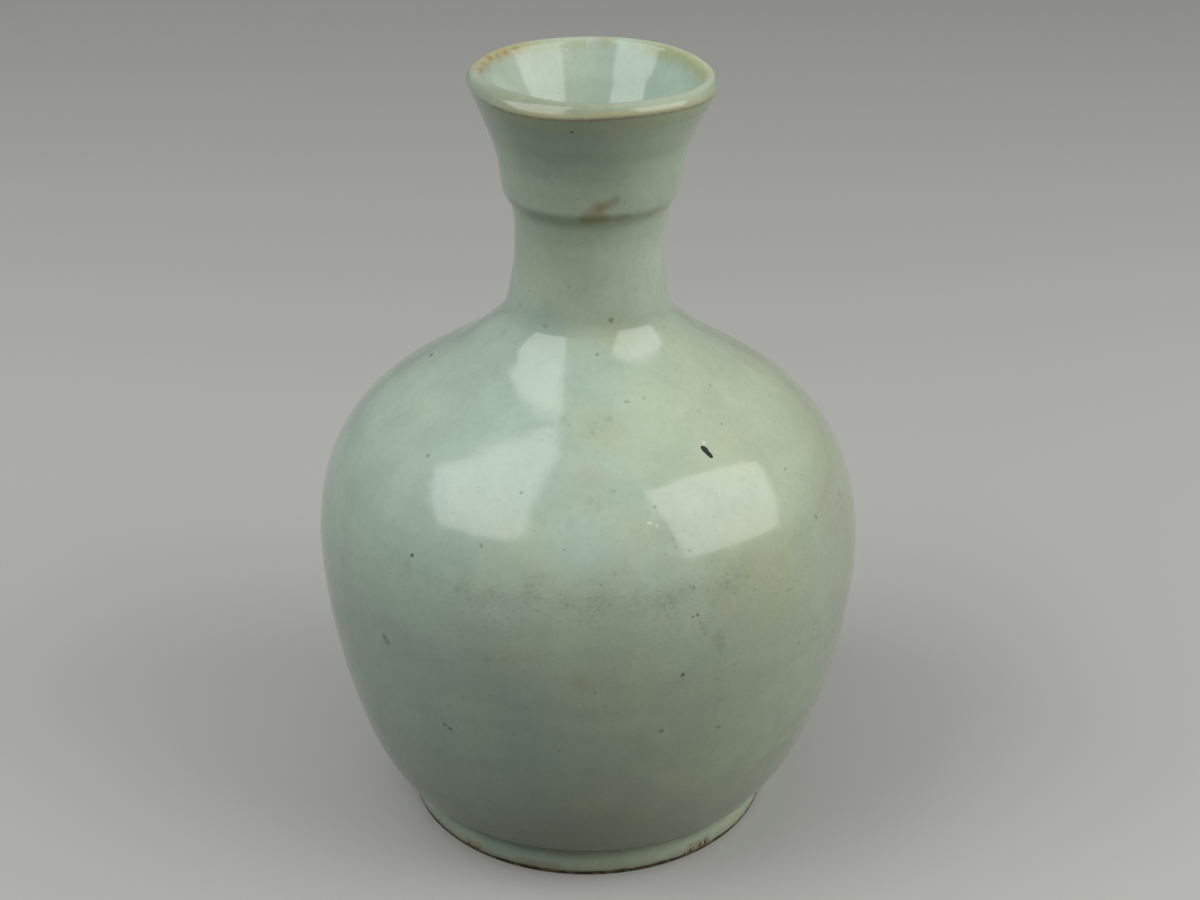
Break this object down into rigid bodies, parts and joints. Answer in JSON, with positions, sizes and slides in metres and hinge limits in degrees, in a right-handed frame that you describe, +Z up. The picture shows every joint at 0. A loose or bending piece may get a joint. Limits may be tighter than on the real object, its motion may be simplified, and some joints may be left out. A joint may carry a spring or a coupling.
{
  "type": "porcelain bottle",
  "caption": "Round thrown porcelain bottle: full belly with a high shoulder, waisted neck stepped under a flaring thick-lipped mouth, low foot ring; holds and pours liquid.",
  "frame": {"origin": "centre of the foot ring, on the plane that it stands on", "axes": "+Z up along the axis of the foot and the belly; -Y is the side that the picture shows; +X is to the right seen from there"},
  "size_m": [0.1402, 0.1402, 0.2],
  "materials": {
    "glaze": "glossy pale grey-green glaze over white porcelain",
    "foot_glaze": "glossy glaze, bare and sanded by the kiln floor under the rim",
    "slip": "fired luting slip under the same glaze, a little darker",
    "grit": "rough brown kiln sand fused to the glaze",
    "iron": "black burnt iron fleck"
  },
  "bodies": {
    "root": {"foot_ring": "foot_glaze", "lower_bowl": "glaze", "belly_seam": "slip", "upper_bowl": "glaze", "shoulder_seam": "slip", "neck": "glaze", "collar_seam": "slip", "mouth_collar": "glaze", "iron_fleck": "iron", "kiln_grit_1": "grit", "kiln_grit_2": "grit", "kiln_grit_3": "grit", "kiln_grit_4": "grit", "kiln_grit_5": "grit", "kiln_grit_6": "grit", "kiln_grit_7": "grit"}
  },
  "joints": []
}
